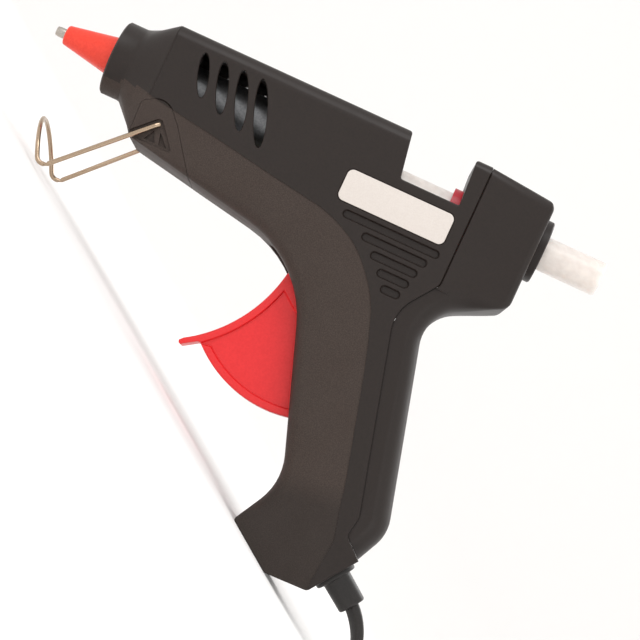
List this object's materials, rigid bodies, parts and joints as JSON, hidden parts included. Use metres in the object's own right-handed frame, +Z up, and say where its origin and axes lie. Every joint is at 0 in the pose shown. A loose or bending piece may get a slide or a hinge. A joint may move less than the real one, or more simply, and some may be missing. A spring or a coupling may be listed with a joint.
{
  "type": "glue gun",
  "caption": "Trigger-fed hot glue gun with a silicone-sleeved nozzle, fold-out wire stand, stick in its feed and a flat lead with a plug, stood nose down on its stand and handle foot.",
  "frame": {"origin": "middle of the flat foot under the handle, on the surface that the gun stands on", "axes": "+Z up; +X towards the back of the gun, so the nozzle points to -X and down; +Y to the gun's right side, so the side with the label faces -Y"},
  "size_m": [0.3067, 0.0652, 0.1425],
  "materials": {
    "housing": "satin on top, fine grain on the grip",
    "wire": "bright nickel plate",
    "nozzle_metal": "turned, dull",
    "steel": "zinc plate",
    "sleeve_rubber": "moulded silicone, satin",
    "cast_aluminium": "as cast",
    "ceramic": "fired ceramic",
    "contact_brass": "bright",
    "film": "amber insulating film",
    "inlet_rubber": "moulded silicone",
    "live_insulation": "brown insulation",
    "neutral_insulation": "blue insulation",
    "woven_sleeve": "woven glass-fibre sleeve",
    "red_plastic": "satin",
    "hot_melt": "waxy, translucent",
    "trigger_plastic": "satin",
    "label_film": "plain satin film",
    "cord_black": "satin black PVC",
    "plug_metal": "nickel plate"
  },
  "bodies": {
    "housing": {"left_housing": "housing", "right_housing": "housing", "rear_housing": "housing", "stand_block": "housing", "nozzle": "nozzle_metal", "nozzle_sleeve": "sleeve_rubber", "nozzle_ball": "steel", "nozzle_spring": "steel", "melt_chamber": "cast_aluminium", "ptc_heater": "ceramic", "upper_electrode": "contact_brass", "lower_electrode": "contact_brass", "heater_film": "film", "heater_wedge": "steel", "inlet_sleeve": "inlet_rubber", "inlet_clamp": "steel", "crimp_connectors": "contact_brass", "live_wire": "live_insulation", "neutral_wire": "neutral_insulation", "heat_sleeves": "woven_sleeve", "return_spring": "steel", "trigger_pin": "steel", "housing_screws": "steel", "cord_clamp": "housing", "clamp_screws": "steel", "label": "label_film", "cord_boot": "cord_black", "cord_tube": "cord_black", "cord_coil": "cord_black", "cord_tie": "cord_black", "plug_lead": "cord_black", "plug_body": "cord_black", "plug_pins": "plug_metal"},
    "stand": {"wire_stand": "wire"},
    "trigger": {"trigger": "trigger_plastic"},
    "feed": {"feed_carriage": "red_plastic", "grip_pin": "steel"},
    "lever": {"grip_lever": "steel"},
    "stick": {"glue_stick": "hot_melt"}
  },
  "joints": [
    {"name": "trigger_pivot", "type": "hinge", "parent": "housing", "child": "trigger", "pos_m": [-0.05744, 0, 0.0567], "axis": [0, -1, 0], "range_deg": [0, 24.4], "stiffness_Nm_per_rad": 0.56, "springref_deg": -19.48},
    {"name": "feed_slide", "type": "slide", "parent": "housing", "child": "feed", "axis": [-0.8141, 0, -0.5807], "range_m": [0, 0.016], "deforming": ["return_spring"]},
    {"name": "stick_feed", "type": "slide", "parent": "housing", "child": "stick", "axis": [-0.8141, 0, -0.5807], "range_m": [0, 0.016]},
    {"name": "grip_lever_pivot", "type": "hinge", "parent": "feed", "child": "lever", "pos_m": [-0.05028, 0, 0.1016], "axis": [0, -1, 0], "range_deg": [-8, 8]},
    {"name": "stand_hinge", "type": "hinge", "parent": "housing", "child": "stand", "pos_m": [-0.12756, 0, 0.03997], "axis": [0, -1, 0], "range_deg": [0, 91]}
  ],
  "couplings": [
    {"joint": "feed_slide", "follows": "trigger_pivot", "m_per_rad": 0.03757},
    {"joint": "stick_feed", "follows": "trigger_pivot", "m_per_rad": 0.03757}
  ]
}
